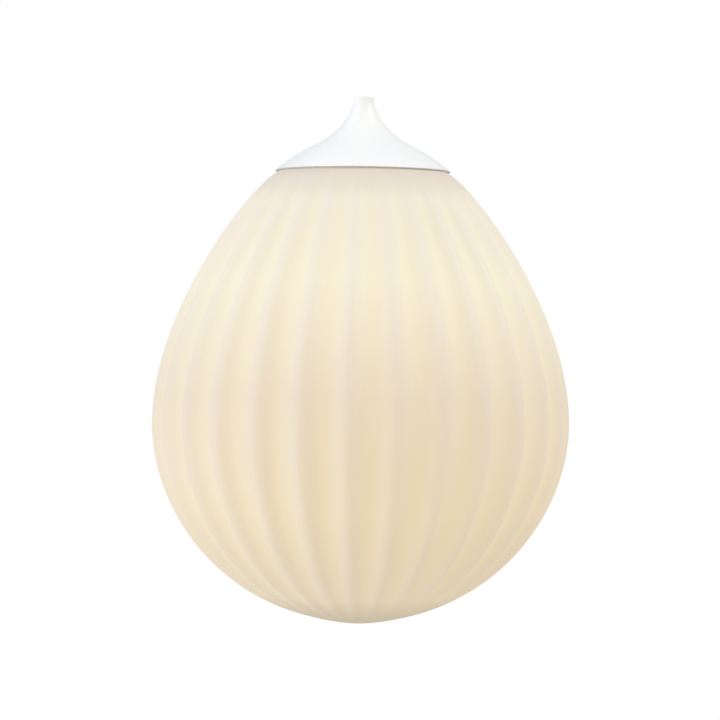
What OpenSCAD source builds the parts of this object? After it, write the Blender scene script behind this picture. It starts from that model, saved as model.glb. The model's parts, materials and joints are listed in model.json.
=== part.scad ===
// Pendant lamp: a closed, fluted opal glass drop that screws up into a threaded gallery,
// under a spun metal cap that slides up the flex. An E27 lampholder and LED bulb hang inside.
// The origin is the top of the clamping bush of the cord grip, on the lamp's axis. +Z is up.

/* [Glass shade] */
// Radius of the shade over the crests of its flutes, at its widest
shade_r = 125.6; // [110:0.1:140]
// How far the widest place lies below the rim of the cap
shade_equator = 151; // [140:1:160]
// How far the closed bottom of the shade lies below the rim of the cap
shade_depth = 270.2; // [255:0.1:285]
// Radius of the flat shoulder from which the glass swells out
shoulder_r = 49.2; // [46:0.1:50]
// Number of flutes round the shade
flutes = 28; // [20:2:36]
// Depth of a flute from crest to valley, at the widest place
flute_depth = 4; // [2:0.5:7]
// Thickness of the glass
glass_t = 3.4; // [3:0.1:4]
// Outside radius of the glass neck
neck_r = 37.2; // [36:0.1:37.3]
// Height of the neck above the shoulder
neck_h = 5.6; // [4:0.1:5.6]

/* [Cap] */
// Radius of the cap at its rim
cap_r = 52.6; // [52:0.1:53]
// Height of the cap from its rim to its tip
cap_h = 45.2; // [44:0.1:48]
// Outside radius of the slim tip
tip_r = 6.2; // [6:0.1:7]
// Thickness of the spun metal
cap_t = 1; // [0.8:0.1:1.2]

/* [Cord grip] */
// Radius of the flex that the grip clamps
cord_r = 3; // [2.5:0.1:3.2]
// Length of the rubber clamping bush
bush_h = 8.8; // [7:0.1:9]
// Outside radius of the M10 threaded tube
tube_r = 5; // [4.9:0.05:5]

/* [Gallery] */
// Outside radius of the gallery that the glass screws into
gallery_r = 38.8; // [38.7:0.1:39]
// Radius of the circle that the three gallery screws stand on
gallery_screw_circle = 32.6; // [32:0.1:33]
// Thickness of the bridge plate that carries the lampholder
bridge_t = 1.5; // [1:0.1:1.8]

/* [Lampholder] */
// Outside radius of the holder's lower skirt
holder_r = 20.5; // [20:0.5:22]
// Inside radius of the E27 screw shell
socket_r = 13.4; // [13.35:0.05:13.5]

/* [Bulb] */
// Outside radius of the bulb's screw base
base_r = 13.1; // [13:0.05:13.1]
// Radius of the bulb's round end
bulb_r = 30; // [28:1:31]
// Length of the bulb from its contact to its round end
bulb_len = 109; // [104:1:112]

/* [Hidden] */
$fn = 96;

// Levels along the axis
rim_z = -30;
tip_z = rim_z + cap_h;
bridge_top = rim_z + 8;
bridge_bottom = bridge_top - bridge_t;
holder_top = bridge_bottom;
dome_bottom = holder_top - 23;
skirt_bottom = dome_bottom - 32;
contact_z = holder_top - 29.9;
base_top = contact_z - 3.2;
base_bottom = base_top - 20.6;
bulb_bottom = contact_z - bulb_len;
bulb_centre = bulb_bottom + bulb_r;
housing_end = bulb_centre + 17;

play = 0.05;            // radial gap between a thread and its nut
bush_out_r = 5.4;
bore_r = 4.1;           // bore of the threaded tube
rivet_x = 7.5;
block_x = 12.6;
board_top = housing_end + 1.95;
board_t = 1.6;

// ---- curves -------------------------------------------------------------------------------

// A point at t on the cubic curve with the four control points p
function bezier(p, t) =
    pow(1 - t, 3) * p[0] + 3 * pow(1 - t, 2) * t * p[1]
    + 3 * (1 - t) * t * t * p[2] + t * t * t * p[3];

// The direction of that curve at t
function bezier_run(p, t) =
    3 * (1 - t) * (1 - t) * (p[1] - p[0]) + 6 * (1 - t) * t * (p[2] - p[1])
    + 3 * t * t * (p[3] - p[2]);

// The outward normal of a curve that is followed downwards
function outward(v) = [-v[1], v[0]] / norm(v);

// Runs smoothly from 0 at x = 0 to 1 at x = 1
function ease(x) = let (c = min(1, max(0, x))) c * c * (3 - 2 * c);

// Outline of the glass from shoulder to widest place, and from there to the bottom, as [r, z]
upper_curve = [
    [shoulder_r, rim_z],
    [shoulder_r + 10.5, rim_z + 0.6],
    [shade_r, rim_z - shade_equator + 71.6],
    [shade_r, rim_z - shade_equator],
];
lower_curve = [
    [shade_r, rim_z - shade_equator],
    [shade_r, rim_z - shade_equator - 55.7],
    [shade_r * 0.62, rim_z - shade_depth],
    [0, rim_z - shade_depth],
];

// Depth of the flutes: it fades out towards the shoulder and towards the bottom
function depth_upper(t) = flute_depth * ease((t - 0.02) / 0.5);
function depth_lower(t) = flute_depth * ease((1 - t) / 0.75);

// Stations along the outline, each [r, z, normal, flute depth]
function stations(n_up, n_low) = [
    for (i = [0 : n_up - 1]) let (t = i / n_up)
        [bezier(upper_curve, t), outward(bezier_run(upper_curve, t)), depth_upper(t)],
    for (i = [0 : n_low - 1]) let (t = i / n_low)
        [bezier(lower_curve, t), outward(bezier_run(lower_curve, t)), depth_lower(t)],
];

// ---- glass shade ---------------------------------------------------------------------------

steps = 4;                       // points to a flute
round_n = flutes * steps;
neck_top = rim_z + neck_h;
inner_neck_r = neck_r - 3.2;

// One ring of points: station s, moved in by wall, with a share of the flute depth
function ring(s, wall, share) = [
    for (j = [0 : round_n - 1]) let (
        a = 360 * j / round_n - 90,
        cut = share * s[2] * (1 - cos(flutes * (a + 90))) / 2,
        p = s[0] - s[1] * (wall + cut)
    ) [p[0] * cos(a), p[0] * sin(a), p[1]],
];

// A plain round ring of the given radius and level
function plain_ring(r, z) = ring([[r, z], [1, 0], 0], 0, 0);

module glass_shade() {
    outer = stations(11, 9);
    inner = stations(6, 6);
    rings = [
        plain_ring(neck_r, neck_top),
        plain_ring(neck_r, rim_z + 0.7),
        plain_ring(neck_r + 0.6, rim_z + 0.1),
        for (s = outer) ring(s, 0, 1),
        plain_ring(4, rim_z - shade_depth),
        plain_ring(4, rim_z - shade_depth + glass_t),
        for (k = [len(inner) - 1 : -1 : 2]) ring(inner[k], glass_t, 0.8),
        plain_ring(shoulder_r - 6, rim_z - glass_t - 1),
        plain_ring(inner_neck_r, rim_z - 1.5),
        plain_ring(inner_neck_r, neck_top),
    ];
    n = round_n;
    bottom = 3 + len(outer);     // the ring round the outer end of the glass
    points = [for (r = rings) for (p = r) p];
    faces = [
        for (k = [0 : len(rings) - 1], j = [0 : n - 1])
            if (k != bottom)
                let (a = k * n + j, b = k * n + (j + 1) % n,
                     c = ((k + 1) % len(rings)) * n + (j + 1) % n,
                     d = ((k + 1) % len(rings)) * n + j)
                each [[a, b, c], [a, c, d]],
        [for (j = [0 : n - 1]) bottom * n + j],
        [for (j = [n - 1 : -1 : 0]) (bottom + 1) * n + j],
    ];
    color("ivory") polyhedron(points, faces, convexity = 4);
}

module shade_gasket()
    color("whitesmoke") tube(neck_r, neck_r - 3, neck_top + 0.1, bridge_bottom - 0.1);

// ---- plain building blocks -------------------------------------------------------------------

// A tube round the axis, from level z0 up to z1
module tube(r_out, r_in, z0, z1)
    translate([0, 0, z0])
        difference() {
            cylinder(r = r_out, h = z1 - z0);
            translate([0, 0, -1]) cylinder(r = r_in, h = z1 - z0 + 2);
        }

// A cylinder from level z0 up to z1
module rod(r, z0, z1) translate([0, 0, z0]) cylinder(r = r, h = z1 - z0);

// Places its children n times round the axis, at radius r
module around(n, r, start = 0)
    for (k = [0 : n - 1]) rotate([0, 0, start + 360 * k / n]) translate([r, 0, 0]) children();

// A hexagonal nut of that width across flats, with a round hole
module hex_nut(flats, hole_r, z0, z1)
    translate([0, 0, z0])
        difference() {
            cylinder(r = flats / 2 / cos(30), h = z1 - z0, $fn = 6);
            translate([0, 0, -1]) cylinder(r = hole_r, h = z1 - z0 + 2);
        }

// ---- cap -------------------------------------------------------------------------------------

// Outside of the cap, as [r, z]: from the tip down the flared neck, then out to the rim
waist = [28.4, rim_z + 16.3];
neck_curve = [
    [tip_r, tip_z - 3.2], [tip_r, tip_z - 6.2], [waist[0] - 17.6, waist[1] + 8.8], waist,
];
skirt_curve = [
    waist, [waist[0] + 13.6, waist[1] - 6.7], [cap_r - 1.3, rim_z + 2.3], [cap_r, rim_z],
];
cap_steps = 16;

// The cap's outline at distance t inside its outer face
function cap_line(t) = [
    for (i = [0 : cap_steps]) let (u = i / cap_steps)
        bezier(neck_curve, u) - t * outward(bezier_run(neck_curve, u)),
    for (i = [1 : cap_steps]) let (u = i / cap_steps)
        bezier(skirt_curve, u) - t * outward(bezier_run(skirt_curve, u)),
];

module top_cap() {
    inside = cap_line(cap_t);
    last = len(inside) - 1;
    color("white") rotate_extrude()
        polygon([
            [tip_r - cap_t, tip_z],
            [tip_r - 0.8, tip_z],
            [tip_r - 0.25, tip_z - 0.2],
            [tip_r, tip_z - 0.8],
            each cap_line(0),
            [cap_r - 0.9, rim_z],
            for (k = [last - 1 : -1 : 0]) inside[k],
        ]);
}

module neck_bush()
    color("white") union() {
        tube(tip_r - cap_t - play, cord_r + 0.3, tip_z - 8.4, tip_z - 0.4);
        tube(tip_r - cap_t - 0.9, cord_r + 0.3, tip_z - 10, tip_z - 8.4);
    }

// ---- cord grip and threaded tube ------------------------------------------------------------

grip_floor = -bush_h;
grip_body_bottom = grip_floor - 7.2;

module cord_grip_body()
    color("whitesmoke") union() {
        hex_nut(15, tube_r + play, grip_body_bottom, grip_floor - 1.2);
        tube(7.5 / cos(30), bore_r, grip_floor - 1.2, grip_floor);
        tube(6.4, bush_out_r + 0.1, grip_floor, -3.4);
    }

module cord_grip_nut()
    color("white") difference() {
        union() {
            rod(7.4, -8.2, 0.3);
            translate([0, 0, 0.3]) cylinder(r1 = 7.4, r2 = 6.2, h = 1.2);
            around(18, 7.3) rod(0.5, -7.8, -0.6);
        }
        rod(6.4 + play, -9, -3.2);
        rod(bush_out_r + 0.1, -4, 0.2);
        rod(cord_r + 0.5, -1, 3);
    }

module cord_grip_bush() color("dimgray") tube(bush_out_r, cord_r, grip_floor, 0);

module threaded_tube()
    color("silver") tube(tube_r, bore_r, holder_top - 9.5, grip_floor - 1.4);

module lock_nut()
    color("silver") hex_nut(14, tube_r + play, bridge_top + 1.5, bridge_top + 5.2);

module tooth_washer()
    color("silver") difference() {
        union() {
            rod(7.6, bridge_top + 0.8, bridge_top + 1.5);
            around(10, 7.9, 18) translate([-1, -0.8, bridge_top + 0.8]) cube([1.7, 1.6, 0.7]);
        }
        rod(tube_r + play, bridge_top, bridge_top + 3);
    }

// Earth tag: a ring under the washer with a tail that a screw holds
module earth_tag() {
    tag_t = 0.8;
    color("gold") difference() {
        union() {
            rod(8.6, bridge_top, bridge_top + tag_t);
            rotate([0, 0, 45]) translate([0, -3, bridge_top]) cube([16, 6, tag_t]);
            rotate([0, 0, 45]) translate([16, 0, 0]) rod(3, bridge_top, bridge_top + tag_t);
        }
        rod(tube_r + play, bridge_top - 1, bridge_top + 3);
        rotate([0, 0, 45]) translate([16, 0, 0]) rod(1.6, bridge_top - 1, bridge_top + 3);
    }
}

module earth_screw()
    color("gold") rotate([0, 0, 45]) translate([16, 0, 0])
        slotted_screw(1.45, 2.8, bridge_bottom + 0.1, bridge_top + 0.8, 1.7);

// A screw with a slotted head: shank radius, head radius, tip level, seat level, head height
module slotted_screw(shank, head, tip, seat, head_h)
    difference() {
        union() {
            rod(shank, tip, seat + 0.1);
            rod(head, seat, seat + head_h);
        }
        translate([-head - 1, -0.35, seat + head_h - 0.8]) cube([2 * head + 2, 0.7, 2]);
    }

// ---- bridge and gallery ----------------------------------------------------------------------

// A kidney-shaped vent of the given radii that spans the given angle from its middle
module kidney(r_in, r_out, span)
    translate([0, 0, bridge_bottom - 1]) linear_extrude(bridge_t + 2)
        difference() {
            polygon([
                [0, 0],
                for (k = [-4 : 4]) 2 * r_out * [cos(k * span / 8), sin(k * span / 8)],
            ]);
            circle(r = r_in);
            difference() {
                circle(r = 5 * r_out);
                circle(r = r_out);
            }
        }

module bridge_plate()
    color("silver") difference() {
        rod(gallery_r - 1.5, bridge_bottom, bridge_top);
        rod(tube_r + play, bridge_bottom - 1, bridge_top + 1);
        for (k = [0 : 2]) rotate([0, 0, 120 * k - 30]) kidney(21.8, 28.6, 84);
        around(3, gallery_screw_circle, 30) rod(1.5 + play, bridge_bottom - 1, bridge_top + 1);
        rotate([0, 0, 45]) translate([16, 0, 0]) rod(1.5, bridge_bottom - 1, bridge_top + 1);
    }

// A spun ring: a threaded wall, a rounded corner and a flange that lies on the bridge
gallery_t = 1.2;
gallery_bend = 1.8;
gallery_top = bridge_top + 1;
module gallery_ring()
    color("gainsboro") difference() {
        rotate_extrude() polygon([
            [gallery_r - gallery_t, rim_z + 0.9],
            [gallery_r, rim_z + 0.9],
            for (k = [0 : 6])
                [gallery_r - gallery_bend * (1 - cos(15 * k)),
                 gallery_top - gallery_bend * (1 - sin(15 * k))],
            [29.8, gallery_top],
            [29.8, bridge_top],
            [gallery_r - gallery_t, bridge_top],
        ]);
        around(3, gallery_screw_circle, 30) rod(1.7, bridge_top - 1, gallery_top + 1);
    }

module gallery_screws()
    color("silver") around(3, gallery_screw_circle, 30)
        slotted_screw(1.5, 2.6, bridge_bottom, gallery_top, 1.4);

// Silicone ring that the cap sits on
module cap_rest_ring()
    color("whitesmoke") rotate_extrude()
        translate([gallery_r + 0.7, gallery_top - gallery_bend + 0.2]) circle(r = 0.7);

// ---- lampholder ------------------------------------------------------------------------------

dome_t = 1.8;
core_top = dome_bottom + 8;

module lampholder_dome()
    color("white") union() {
        rotate_extrude() polygon([
            [tube_r + play, holder_top],
            [holder_r - 5, holder_top],
            for (k = [0 : 6])
                [holder_r - 5 + 4 * sin(15 * k), holder_top - 4 + 4 * cos(15 * k)],
            [holder_r - 1, dome_bottom],
            [holder_r - 1 - dome_t, dome_bottom],
            [holder_r - 1 - dome_t, holder_top - 4],
            [holder_r - 5, holder_top - dome_t],
            [8, holder_top - dome_t],
            [8, holder_top - 9],
            [tube_r + play, holder_top - 9],
        ]);
    }

module lampholder_skirt()
    color("white") difference() {
        union() {
            rod(holder_r, skirt_bottom + 1.2, dome_bottom);
            translate([0, 0, skirt_bottom]) cylinder(r1 = holder_r - 1, r2 = holder_r, h = 1.2);
        }
        rod(17.6, skirt_bottom + 2.6, dome_bottom + 1);
        rod(15, skirt_bottom - 1, skirt_bottom + 4);
    }

// Ceramic insert: a thick floor with a deep collar round the screw shell
module lampholder_core()
    color("seashell") difference() {
        union() {
            rod(17.2, dome_bottom - 2, core_top);
            rod(17.2, skirt_bottom + 3, dome_bottom);
        }
        rod(socket_r + 0.75, skirt_bottom + 2, dome_bottom - 2);
        for (s = [-1, 1]) translate([s * rivet_x, 0, 0]) rod(1.3, dome_bottom - 3, core_top + 1);
    }

shell_top = dome_bottom - 2;
module socket_shell()
    color("gold") difference() {
        rod(socket_r + 0.5, skirt_bottom + 3.6, shell_top);
        rod(socket_r, skirt_bottom, shell_top - 0.6);
        translate([-5, -4, shell_top - 2]) cube([15, 8, 4]);
        translate([-rivet_x, 0, 0]) rod(1.3, shell_top - 2, shell_top + 1);
    }

// Spring tongue: riveted at one side, bent down to press on the bulb's contact
module socket_contact()
    color("gold") difference() {
        translate([0, 2.5, 0]) rotate([90, 0, 0]) linear_extrude(5)
            polygon([
                [9.3, shell_top], [9.3, shell_top - 0.6], [4.5, shell_top - 0.6],
                [1, contact_z + 0.3], [-2, contact_z + 0.3], [-3, contact_z + 1.3],
                [-2.6, contact_z + 1.6], [-1.8, contact_z + 0.8], [1.2, contact_z + 0.8],
                [4.8, shell_top],
            ]);
        translate([rivet_x, 0, 0]) rod(1.2, shell_top - 2, shell_top + 1);
    }

module contact_rivets()
    color("silver") for (s = [-1, 1]) translate([s * rivet_x, 0, 0]) {
        rod(1.1, shell_top - 1, core_top + 0.6);
        rod(2, core_top, core_top + 0.7);
        rod(1.7, shell_top - 1.3, shell_top - 0.6);
    }

module terminal_blocks()
    color("gold") for (s = [-1, 1]) difference() {
        translate([s * block_x - 2.5, -4, core_top]) cube([5, 8, 6]);
        translate([s * block_x, 0, 0]) rod(1.5, core_top + 2, core_top + 7);
        translate([s * block_x, -5, core_top + 2.4]) rotate([-90, 0, 0]) cylinder(r = 1.2, h = 10);
    }

module terminal_screws()
    color("silver") for (s = [-1, 1]) translate([s * block_x, 0, 0])
        slotted_screw(1.4, 2.2, core_top + 3.8, core_top + 6, 1.5);

// ---- bulb ------------------------------------------------------------------------------------

module bulb_contact()
    color("silver") rotate_extrude() polygon([
        [0, contact_z], [2.6, contact_z], [4, contact_z - 0.5], [4.4, contact_z - 1],
        [0, contact_z - 1],
    ]);

module bulb_insulator()
    color("black") translate([0, 0, base_top])
        cylinder(r1 = 10.8, r2 = 5.2, h = contact_z - 1.05 - base_top);

module bulb_screw_base()
    color("silver") difference() {
        rod(base_r, base_bottom, base_top - 0.05);
        rod(base_r - 0.9, base_bottom - 1, base_top - 1);
    }

module bulb_housing()
    color("white") rotate_extrude() polygon([
        [base_r - 1.1, base_bottom + 6], [base_r - 1, base_bottom],
        [base_r + 0.9, base_bottom - 0.05], [base_r + 1.3, base_bottom - 1],
        [base_r + 1.5, base_bottom - 6],
        [24.2, housing_end + 2], [24.7, housing_end], [23.4, housing_end],
        [22.8, housing_end + 2], [21.6, housing_end + 2], [base_r, base_bottom - 6],
        [base_r - 2.4, base_bottom - 1],
        [base_r - 2.4, base_bottom + 6],
    ]);

// Opal dome: a part of a hollow ball below the housing
module bulb_dome()
    color("white") difference() {
        translate([0, 0, bulb_centre]) sphere(r = bulb_r);
        translate([0, 0, bulb_centre]) sphere(r = bulb_r - 1.2);
        rod(bulb_r + 1, housing_end - 0.05, bulb_centre + bulb_r + 1);
    }

module led_board() color("gainsboro") rod(22.5, board_top - board_t, board_top);

// An outer and an inner circle of chips on the underside of the board
module led_chips()
    color("yellow") {
        around(12, 16) led_chip();
        around(4, 7, 45) led_chip();
    }

module led_chip() translate([-1.4, -1.75, board_top - board_t - 0.75]) cube([2.8, 3.5, 0.75]);

module driver_board()
    color("green") translate([-8, -0.8, board_top]) cube([16, 1.6, base_bottom + 5 - board_top]);

// On the board: a transformer, a tall capacitor, a chip and a row of small parts
module driver_parts() {
    low = board_top + 6;
    color("orange") translate([-6, 0.9, low]) cube([11, 7, 9]);
    color("royalblue") translate([0, 5.9, low + 14]) cylinder(r = 4, h = 12);
    color("dimgray") translate([-5, -3.6, low + 3]) cube([9, 2.7, 6]);
    color("dimgray") translate([-4, -3.6, low + 14]) cube([6, 2.7, 8]);
}

// ---- parts -----------------------------------------------------------------------------------

glass_shade();
shade_gasket();
top_cap();
neck_bush();
cord_grip_body();
cord_grip_nut();
cord_grip_bush();
threaded_tube();
lock_nut();
tooth_washer();
earth_tag();
earth_screw();
bridge_plate();
gallery_ring();
gallery_screws();
cap_rest_ring();
lampholder_dome();
lampholder_skirt();
lampholder_core();
socket_shell();
socket_contact();
contact_rivets();
terminal_blocks();
terminal_screws();
bulb_contact();
bulb_insulator();
bulb_screw_base();
bulb_housing();
bulb_dome();
led_board();
led_chips();
driver_board();
driver_parts();
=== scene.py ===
import json
import math

import bmesh
import bpy
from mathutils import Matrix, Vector


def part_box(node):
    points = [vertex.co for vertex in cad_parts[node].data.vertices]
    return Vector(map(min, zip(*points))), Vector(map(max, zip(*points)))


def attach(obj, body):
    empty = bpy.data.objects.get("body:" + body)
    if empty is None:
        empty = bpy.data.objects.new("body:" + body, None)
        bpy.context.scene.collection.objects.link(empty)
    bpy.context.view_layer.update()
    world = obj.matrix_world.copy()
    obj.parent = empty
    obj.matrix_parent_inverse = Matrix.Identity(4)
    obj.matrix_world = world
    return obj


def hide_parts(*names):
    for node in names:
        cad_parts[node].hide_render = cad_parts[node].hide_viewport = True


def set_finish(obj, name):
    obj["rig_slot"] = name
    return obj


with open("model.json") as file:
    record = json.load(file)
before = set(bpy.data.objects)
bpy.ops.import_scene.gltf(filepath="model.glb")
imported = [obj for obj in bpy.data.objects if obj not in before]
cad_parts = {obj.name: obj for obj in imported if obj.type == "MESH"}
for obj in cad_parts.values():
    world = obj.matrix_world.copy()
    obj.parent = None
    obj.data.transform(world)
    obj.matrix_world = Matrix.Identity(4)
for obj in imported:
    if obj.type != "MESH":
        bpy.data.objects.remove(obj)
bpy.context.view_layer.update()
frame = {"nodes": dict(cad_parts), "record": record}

# A pendant lamp: a closed drop of fluted opal glass under a white spun cap.
# The origin is the top of the cord grip, on the lamp's axis. All sizes are in metres.

MM = 0.001
TURN = 2 * math.pi

# ---- sizes: the outer ones come from the CAD frame, the others repeat the CAD's own values ----


def span(node):
    """Outer radius, lowest level and highest level of a round CAD node."""
    low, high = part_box(node)
    return max(-low.x, high.x, -low.y, high.y), low.z, high.z


SHADE_R, SHADE_BOTTOM, NECK_TOP = span("glass_shade")
CAP_R, RIM_Z, TIP_Z = span("top_cap")
EQUATOR_Z = RIM_Z - 151 * MM
SHOULDER_R = 49.2 * MM
NECK_R = 37.2 * MM
GLASS_T = 3.4 * MM
FLUTES = 28
FLUTE_DEPTH = 4 * MM
CREST = -TURN / 4            # the direction in which one flute's crest points

# ---- curves ----------------------------------------------------------------------------------


def bezier(points, t):
    """The point at t on a cubic curve."""
    weights = ((1 - t) ** 3, 3 * (1 - t) ** 2 * t, 3 * (1 - t) * t * t, t ** 3)
    return sum((w * Vector(p) for w, p in zip(weights, points)), Vector((0, 0)))


def outward(points, t):
    """The outward normal of a cubic outline that is followed downwards."""
    p = [Vector(v) for v in points]
    run = (1 - t) ** 2 * (p[1] - p[0]) + 2 * (1 - t) * t * (p[2] - p[1]) + t * t * (p[3] - p[2])
    return Vector((-run.y, run.x)).normalized()


def ease(x):
    """Runs smoothly from 0 at x = 0 to 1 at x = 1."""
    x = min(1.0, max(0.0, x))
    return x * x * (3 - 2 * x)


def arc(centre, radius, start, end, steps):
    """Points on an arc of the (r, z) plane; the angles are in degrees."""
    for k in range(steps + 1):
        a = math.radians(start + (end - start) * k / steps)
        yield (centre[0] + radius * math.cos(a), centre[1] + radius * math.sin(a))


# ---- meshes ----------------------------------------------------------------------------------


def add_mesh(name, points, faces):
    """A smooth-shaded object with this mesh."""
    mesh = bpy.data.meshes.new(name)
    mesh.from_pydata([tuple(p) for p in points], [], faces)
    mesh.validate()
    made = bmesh.new()
    made.from_mesh(mesh)
    bmesh.ops.recalc_face_normals(made, faces=made.faces)
    made.to_mesh(mesh)
    made.free()
    mesh.shade_smooth()
    obj = bpy.data.objects.new(name, mesh)
    bpy.context.scene.collection.objects.link(obj)
    return obj


def stack(name, rings, closed):
    """Skins a list of rings of points, each ring with as many points as the others.
    closed joins the last ring to the first; otherwise a flat face closes each end."""
    n = len(rings[0])
    points = [p for ring in rings for p in ring]
    pairs = [(k, k + 1) for k in range(len(rings) - 1)]
    if closed:
        pairs.append((len(rings) - 1, 0))
    faces = [
        (a * n + j, b * n + j, b * n + (j + 1) % n, a * n + (j + 1) % n)
        for a, b in pairs for j in range(n)
    ]
    if not closed:
        faces += [tuple(range(n)), tuple(range(len(points) - n, len(points)))]
    return add_mesh(name, points, faces)


def lathe(name, outline, columns=128):
    """A closed solid of revolution from a closed outline of (r, z) points."""
    rings = [
        [(r * math.cos(TURN * j / columns), r * math.sin(TURN * j / columns), z)
         for j in range(columns)]
        for r, z in outline
    ]
    return stack(name, rings, closed=True)


def keep_edges(obj, angle=35):
    """Keeps edges sharper than the angle crisp under smooth shading."""
    obj.data.set_sharp_from_angle(angle=math.radians(angle))


# ---- glass shade -----------------------------------------------------------------------------

# The outline of the glass as (r, z) curves: shoulder to widest place, and on down to the pole.
UPPER = (
    (SHOULDER_R, RIM_Z),
    (SHOULDER_R + 10.5 * MM, RIM_Z + 0.6 * MM),
    (SHADE_R, EQUATOR_Z + 71.6 * MM),
    (SHADE_R, EQUATOR_Z),
)
LOWER = (
    (SHADE_R, EQUATOR_Z),
    (SHADE_R, EQUATOR_Z - 55.7 * MM),
    (SHADE_R * 0.62, SHADE_BOTTOM),
    (0, SHADE_BOTTOM),
)
POINT = 1.27 * MM             # the closed end comes to a slight point, this far below the curve
POINT_R = 14.4 * MM
CREST_SHARPNESS = 0.15        # how much narrower a crest is than a valley
COLUMNS_A_FLUTE = 12
POLE_R = 0.8 * MM             # the smallest ring round the pole
NECK_T = 3.2 * MM
NECK_STEPS = 12               # rings to a turn of the neck's thread
INNER_FLUTES = 0.8            # the flutes inside, against those outside
NECK_PITCH = 3 * MM
NECK_THREAD = 0.8 * MM


def flute_cut(turn):
    """How deep the flutes cut at this place round the shade, from 0 at a crest to 1 in a valley."""
    phase = FLUTES * (turn - CREST)
    return ((1 - math.cos(phase)) + CREST_SHARPNESS * (1 - math.cos(2 * phase))) / 2


def glass_ring(columns, place, normal=Vector((1, 0)), wall=0.0, depth=0.0, thread=0.0):
    """One ring of the glass: a place on its outline, moved in by the wall, the flutes and the neck's
    thread."""
    ring = []
    for j in range(columns):
        turn = TURN * j / columns
        cut = wall + depth * flute_cut(turn)
        if thread:
            lead = (place[1] / NECK_PITCH - j / columns) % 1.0
            cut += thread * (0.5 + 0.5 * math.cos(TURN * lead)) ** 1.5
        p = Vector(place) - normal * cut
        ring.append((p.x * math.cos(turn), p.x * math.sin(turn), p.y))
    return ring


def glass_stations(curve, steps, fade):
    """Stations along an outline: place, normal and flute depth."""
    for k in range(steps):
        t = k / steps
        p = bezier(curve, t)
        p.y -= POINT * math.exp(-(p.x / POINT_R) ** 2 / 2)
        yield p, outward(curve, t), FLUTE_DEPTH * fade(t)


def make_glass():
    """The glass as one skin, from the pole up inside, over the neck and down outside to the pole."""
    columns = FLUTES * COLUMNS_A_FLUTE
    upper = list(glass_stations(UPPER, 56, lambda t: ease((t - 0.02) / 0.5)))
    lower = list(glass_stations(LOWER, 52, lambda t: ease((1 - t) / 0.75)))
    inner_r = NECK_R - NECK_T
    pole = [glass_ring(columns, (POLE_R, SHADE_BOTTOM - POINT + wall)) for wall in (0, GLASS_T)]
    body = [glass_ring(columns, p, n, GLASS_T, INNER_FLUTES * d)
            for p, n, d in (upper + lower)[4::4]]
    inside = [pole[1], *reversed(body)]
    inside += [glass_ring(columns, p) for p in (
        (SHOULDER_R - 6 * MM, RIM_Z - GLASS_T - 1 * MM), (inner_r + 1 * MM, RIM_Z - 3 * MM),
        (inner_r, RIM_Z - 1.5 * MM), (inner_r, NECK_TOP - 0.6 * MM),
        (inner_r + 0.6 * MM, NECK_TOP))]
    outside = [glass_ring(columns, p) for p in
               arc((NECK_R - 0.8 * MM, NECK_TOP - 0.8 * MM), 0.8 * MM, 90, 0, 4)]
    z = NECK_TOP - 1.0 * MM
    while z > RIM_Z + 0.9 * MM:
        swell = NECK_THREAD * ease((NECK_TOP - z) / (1.6 * MM)) * ease((z - RIM_Z) / (1.6 * MM))
        outside.append(glass_ring(columns, (NECK_R, z), thread=swell))
        z -= NECK_PITCH / NECK_STEPS
    outside += [glass_ring(columns, p) for p in
                arc((NECK_R + 1 * MM, RIM_Z + 0.95 * MM), 1 * MM, 180, 265, 4)]
    outside += [glass_ring(columns, p, n, 0, d) for p, n, d in upper + lower]
    outside.append(pole[0])
    obj = stack("opal_shade", inside + outside, closed=False)
    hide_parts("glass_shade")
    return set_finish(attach(obj, "shade"), "opal_glass")


# ---- cap -------------------------------------------------------------------------------------

TIP_R = 6.2 * MM
CAP_T = 1 * MM
LIP = 0.35 * MM               # the rounding of the rim's outer edge
WAIST = Vector((28.4 * MM, RIM_Z + 16.3 * MM))
# The cap's outer face as (r, z) curves: tip to waist, and on down to the rim.
CAP_NECK = (
    (TIP_R, TIP_Z - 3.2 * MM),
    (TIP_R, TIP_Z - 6.2 * MM),
    (WAIST.x - 17.6 * MM, WAIST.y + 8.8 * MM),
    WAIST,
)
CAP_SKIRT = (
    WAIST,
    (WAIST.x + 13.6 * MM, WAIST.y - 6.7 * MM),
    (CAP_R - 1.3 * MM, RIM_Z + 2.3 * MM),
    (CAP_R, RIM_Z),
)


def cap_line(inset, steps=40):
    """The cap's outline at this distance inside its outer face."""
    points = []
    for curve in (CAP_NECK, CAP_SKIRT):
        for k in range(1 if points else 0, steps + 1):
            t = k / steps
            p = bezier(curve, t) - outward(curve, t) * inset
            points.append(tuple(p))
    return points


def make_cap():
    """The cap as a shell of even thickness, with a rolled tip and a rounded rim."""
    outside = cap_line(0)[:-1]
    inside = cap_line(CAP_T)[:-1]
    outline = [(TIP_R - CAP_T, TIP_Z - 0.2 * MM), (TIP_R - CAP_T + 0.15 * MM, TIP_Z)]
    outline += arc((TIP_R - 0.6 * MM, TIP_Z - 0.6 * MM), 0.6 * MM, 90, 0, 6)
    outline += outside
    outline += arc((CAP_R - LIP, RIM_Z + LIP), LIP, 0, -90, 5)
    outline += [(CAP_R - 0.9 * MM, RIM_Z)]
    outline += reversed(inside)
    obj = lathe("spun_cap", outline, columns=160)
    keep_edges(obj, 50)
    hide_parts("top_cap")
    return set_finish(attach(obj, "cap"), "cap_paint")


# ---- materials -------------------------------------------------------------------------------


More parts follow.
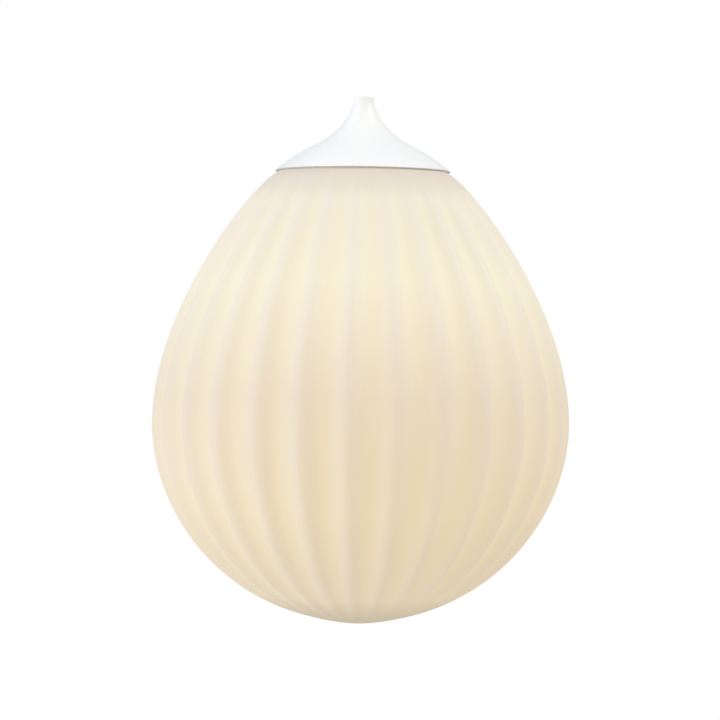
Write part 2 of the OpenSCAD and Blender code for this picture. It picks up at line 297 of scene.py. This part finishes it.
class Shader:
    """A Principled material with its node tree, and short names for the nodes it needs."""

    def __init__(self, name, **sockets):
        self.material = bpy.data.materials.new(name + "_finish")
        self.material.use_nodes = True
        self.tree = self.material.node_tree
        self.bsdf = self.tree.nodes["Principled BSDF"]
        for socket, value in sockets.items():
            self.bsdf.inputs[socket.replace("_", " ")].default_value = value

    def node(self, kind, settings=(), **sockets):
        """Adds a node. A socket's value is a number, a colour or another node's output."""
        made = self.tree.nodes.new(kind)
        for key, value in dict(settings).items():
            setattr(made, key, value)
        for socket, value in sockets.items():
            self.put(made.inputs[socket.replace("_", " ")], value)
        return made

    def put(self, socket, value):
        if isinstance(value, bpy.types.NodeSocket):
            self.tree.links.new(value, socket)
        else:
            socket.default_value = value

    def math(self, operation, *values):
        made = self.tree.nodes.new("ShaderNodeMath")
        made.operation = operation
        for socket, value in zip(made.inputs, values):
            self.put(socket, value)
        return made.outputs[0]

    def place(self):
        """The piece's own coordinates, in metres."""
        return self.node("ShaderNodeTexCoord").outputs["Object"]

    def noise(self, scale, detail=2.0, roughness=0.5, where=None):
        made = self.node("ShaderNodeTexNoise", Scale=scale, Detail=detail, Roughness=roughness,
                         Vector=where or self.place())
        return made.outputs["Fac"]

    def spread(self, value, low, high, start=0.0, end=1.0):
        """Maps a value that runs from start to end onto low to high."""
        made = self.node("ShaderNodeMapRange", From_Min=start, From_Max=end, To_Min=low, To_Max=high,
                         Value=value)
        return made.outputs["Result"]

    def blend(self, share, first, second):
        """Mixes two colours."""
        made = self.tree.nodes.new("ShaderNodeMix")
        made.data_type = "RGBA"
        for socket, value in zip((made.inputs[0], made.inputs[6], made.inputs[7]),
                                 (share, first, second)):
            self.put(socket, value)
        return made.outputs[2]

    def multiply(self, first, second):
        """Multiplies two colours."""
        made = self.tree.nodes.new("ShaderNodeVectorMath")
        made.operation = "MULTIPLY"
        for socket, value in zip(made.inputs, (first, second)):
            self.put(socket, value)
        return made.outputs[0]

    def ramp(self, value, stops):
        """A colour that changes along a value, from stop to stop."""
        made = self.node("ShaderNodeValToRGB", Fac=value)
        elements = made.color_ramp.elements
        while len(elements) < len(stops):
            elements.new(0.5)
        for element, (at, colour) in zip(elements, stops):
            element.position = at
            element.color = colour
        return made.outputs["Color"]

    def bump(self, height, strength, distance):
        made = self.node("ShaderNodeBump", Strength=strength, Distance=distance, Height=height)
        self.tree.links.new(made.outputs["Normal"], self.bsdf.inputs["Normal"])

    def set(self, socket, value):
        self.put(self.bsdf.inputs[socket], value)


def tint(colour, factor=1.0):
    return (*(min(1.0, c * factor) for c in colour), 1.0)


def mottled(name, colour, roughness, metallic=0.0, vary=0.05, patch=120.0, grain=2500.0,
            relief=0.02, stretch=(1, 1, 1), **sockets):
    """A finish whose tone and roughness vary in soft patches, with a fine grain in relief."""
    s = Shader(name, Metallic=metallic, **sockets)
    soft = s.noise(patch, 3)
    s.set("Base Color", s.blend(soft, tint(colour, 1 - vary), tint(colour, 1 + vary)))
    where = s.node("ShaderNodeMapping", Vector=s.place(), Scale=stretch).outputs[0]
    fine = s.noise(grain, 2, where=where)
    s.set("Roughness", s.math("ADD", s.spread(soft, roughness * 0.85, roughness * 1.1),
                              s.spread(fine, -0.03, 0.03)))
    s.bump(fine, relief, 0.1 * MM)
    return s.material


# The glow of the glass at a share of its height. Low down it is warm, higher up it is pale, and the
# bottom is dimmer.
# Under the cap it dims, which is painted shade of the cap and neck, and at the rim itself it is
# painted brighter, as painted light that fills the crevice the rim shades.
GLOW_AND_PAINTED_SHADE = ((0.0, (0.28, 0.18, 0.05)), (0.06, (0.505, 0.385, 0.19)), (0.25, (0.55, 0.425, 0.205)),
        (0.5, (0.52, 0.405, 0.22)), (0.75, (0.585, 0.505, 0.305)), (0.93, (0.55, 0.465, 0.30)),
        (0.994, (0.41, 0.32, 0.215)), (1.0, (0.62, 0.53, 0.41)))
CREST_GLOW = (0.92, 0.92, 1.03)      # the crests are thicker, so their glow is dimmer and cooler


def opal_glass():
    """Satin opal glass that glows softly with the light of the bulb inside."""
    s = Shader("opal_glass", Roughness=0.6, IOR=1.5)
    x, y, z = s.node("ShaderNodeSeparateXYZ", Vector=s.place()).outputs
    turn = s.math("ARCTAN2", y, x)
    wave = s.math("COSINE", s.math("MULTIPLY", s.math("SUBTRACT", turn, CREST), FLUTES))
    fade = s.math("MULTIPLY", s.spread(z, 0.0, 1.0, SHADE_BOTTOM, SHADE_BOTTOM + 25 * MM),
                  s.spread(z, 0.0, 1.0, RIM_Z - 6 * MM, RIM_Z - 28 * MM))
    crest = s.spread(s.math("MULTIPLY", wave, fade), 0.0, 1.0, -1.0, 1.0)
    height = s.spread(z, 0.0, 1.0, SHADE_BOTTOM, RIM_Z)
    # The glow by height carries painted shade under the cap and painted light at the rim.
    glow = s.ramp(height, [(at, (*colour, 1)) for at, colour in GLOW_AND_PAINTED_SHADE])
    s.set("Emission Color", s.multiply(glow, s.blend(crest, (1, 1, 1, 1), (*CREST_GLOW, 1))))
    s.set("Emission Strength", s.spread(s.noise(14.0, 2), 0.935, 0.975))
    s.set("Base Color", s.blend(crest, (0.36, 0.36, 0.36, 1), (0.37, 0.37, 0.38, 1)))
    s.bump(s.noise(900.0, 2), 0.02, 0.2 * MM)
    return s.material


def cap_paint():
    """White satin enamel with a trace of orange peel, and a grey band of painted shade along the thin
    edge of the rim.
    """
    s = Shader("cap_paint", IOR=1.5)
    soft = s.noise(40.0, 2)
    white = s.blend(soft, (0.93, 0.935, 0.935, 1), (0.945, 0.95, 0.95, 1))
    height = s.node("ShaderNodeSeparateXYZ", Vector=s.place()).outputs["Z"]
    # Painted shade: the lowest 0.6 to 0.9 mm of the rim turns grey, where the rim meets the glass.
    edge = s.spread(height, 1.0, 0.0, RIM_Z + 0.6 * MM, RIM_Z + 0.9 * MM)
    s.set("Base Color", s.blend(edge, white, (0.50, 0.50, 0.47, 1)))
    s.set("Roughness", s.spread(soft, 0.32, 0.38))
    s.bump(s.noise(700.0, 1), 0.01, 0.1 * MM)
    return s.material


def make_materials():
    steel = (0.66, 0.67, 0.68)
    brass = (0.80, 0.62, 0.30)
    return {
        "opal_glass": opal_glass(),
        "cap_paint": cap_paint(),
        "silicone": mottled("silicone", (0.80, 0.80, 0.78), 0.55, vary=0.03),
        "white_plastic": mottled("white_plastic", (0.86, 0.86, 0.84), 0.32, vary=0.02, relief=0.03),
        "grip_rubber": mottled("grip_rubber", (0.05, 0.05, 0.055), 0.7, vary=0.1, relief=0.1),
        "zinc_steel": mottled("zinc_steel", steel, 0.30, 1.0, vary=0.08, stretch=(1, 1, 12)),
        "brass": mottled("brass", brass, 0.28, 1.0, vary=0.06),
        "gallery_steel": mottled("gallery_steel", (0.84, 0.84, 0.83), 0.36, vary=0.02),
        "ceramic": mottled("ceramic", (0.84, 0.81, 0.75), 0.45, vary=0.04, relief=0.08),
        "shell_metal": mottled("shell_metal", (0.82, 0.66, 0.36), 0.30, 1.0, vary=0.06),
        "bulb_metal": mottled("bulb_metal", (0.78, 0.78, 0.76), 0.25, 1.0, vary=0.06),
        "bulb_insulation": mottled("bulb_insulation", (0.012, 0.012, 0.015), 0.15, vary=0.2),
        "bulb_plastic": mottled("bulb_plastic", (0.84, 0.84, 0.82), 0.45, vary=0.02, relief=0.05),
        "bulb_opal": mottled("bulb_opal", (0.36, 0.34, 0.30), 0.4, vary=0.02,
                             Emission_Color=(0.78, 0.56, 0.30, 1), Emission_Strength=1.0),
        "led_board": mottled("led_board", (0.82, 0.82, 0.80), 0.4, vary=0.03),
        "led_phosphor": mottled("led_phosphor", (0.88, 0.68, 0.16), 0.3, vary=0.05),
        "driver_board": mottled("driver_board", (0.04, 0.20, 0.08), 0.35, vary=0.1),
        "driver_parts": mottled("driver_parts", (0.06, 0.07, 0.09), 0.4, vary=0.15),
    }


# ---- stage, light and camera -----------------------------------------------------------------


FLOOR_R = 9
FLOOR_DROP = 2.5              # how far the floor lies below the lamp


def make_floor():
    """A pale floor far below the lamp, which fades to the white of the surroundings."""
    bpy.ops.mesh.primitive_circle_add(vertices=128, radius=FLOOR_R, fill_type="NGON",
                                      location=(0, 0, SHADE_BOTTOM - FLOOR_DROP))
    floor = bpy.context.object
    floor.name = "floor"
    s = Shader("pale_floor", Base_Color=(0.9, 0.9, 0.9, 1), Roughness=0.8,
               Emission_Color=(1, 1, 1, 1))
    away = s.node("ShaderNodeVectorMath", {"operation": "LENGTH"}, Vector=s.place())
    # Painted light: the floor glows more the farther out it lies, so that it fades into the white
    # surroundings.
    s.set("Emission Strength", s.spread(away.outputs["Value"], 0.0, 0.6, 2.5, 8.2))
    floor.data.materials.append(s.material)


SOFTBOX_SIZE = 1.4
LAMP_MIDDLE = -0.14


def soft_light(name, at, power, colour):
    """A square softbox that faces the middle of the lamp."""
    lamp = bpy.data.lights.new(name, "AREA")
    lamp.shape = "SQUARE"
    lamp.size = SOFTBOX_SIZE
    lamp.energy = power
    lamp.color = colour
    lamp.normalize = True
    obj = bpy.data.objects.new(name, lamp)
    obj.location = at
    aim = Vector((0, 0, LAMP_MIDDLE)) - Vector(at)
    obj.rotation_euler = aim.to_track_quat("-Z", "Y").to_euler()
    bpy.context.scene.collection.objects.link(obj)


def make_world():
    """White to the camera, dimmer and a little warm as a source of light."""
    world = bpy.data.worlds.new("studio")
    bpy.context.scene.world = world
    world.use_nodes = True
    nodes, links = world.node_tree.nodes, world.node_tree.links
    seen = nodes.new("ShaderNodeLightPath").outputs["Is Camera Ray"]
    colour = nodes.new("ShaderNodeMix")
    colour.data_type = "RGBA"
    colour.inputs[6].default_value = (0.56, 0.55, 0.52, 1)
    colour.inputs[7].default_value = (1, 1, 1, 1)
    links.new(seen, colour.inputs[0])
    links.new(colour.outputs[2], nodes["Background"].inputs["Color"])


def make_lights():
    soft_light("low_left_softbox", (-1.6, -0.6, -0.7), 10.3, (0.28, 0.63, 1.0))
    soft_light("high_left_softbox", (-1.4, -0.4, 1.4), 15.3, (0.54, 0.72, 1.0))
    soft_light("high_right_softbox", (1.4, -0.4, 1.4), 19.6, (0.95, 0.99, 1.0))
    soft_light("front_left_softbox", (-1.3, -1.4, -0.14), 9.3, (1.0, 0.62, 0.16))


CAMERA_LENS = 174.1
CAMERA_AZIMUTH = 3.2
CAMERA_DISTANCE = 2.094
CAMERA_SIDE = -0.0004        # how far the camera stands to the right of the lamp's axis
CAMERA_Z = -0.1432
CAMERA_ROLL = -0.69          # in degrees, as the azimuth


def make_camera():
    camera = bpy.data.cameras.new("camera")
    camera.lens = CAMERA_LENS
    obj = bpy.data.objects.new("camera", camera)
    a = math.radians(CAMERA_AZIMUTH)
    obj.location = (
        CAMERA_DISTANCE * math.sin(a) + CAMERA_SIDE * math.cos(a),
        -CAMERA_DISTANCE * math.cos(a) + CAMERA_SIDE * math.sin(a),
        CAMERA_Z)
    obj.rotation_euler = (math.radians(90), math.radians(CAMERA_ROLL), a)
    bpy.context.scene.collection.objects.link(obj)
    bpy.context.scene.camera = obj


# ---- assembly --------------------------------------------------------------------------------


def finish_cad_nodes(materials):
    """Gives every CAD node that still shows the material of its slot."""
    for part in frame["record"]["subparts"]:
        obj = frame["nodes"][part["node"]]
        obj.data.materials.clear()
        obj.data.materials.append(materials[part["material_slot"]])


materials = make_materials()
pieces = [make_glass(), make_cap()]
for piece in pieces:
    piece.data.materials.append(materials[piece["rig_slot"]])
finish_cad_nodes(materials)
make_floor()
make_world()
make_lights()
make_camera()
bpy.context.scene.view_settings.view_transform = "Standard"
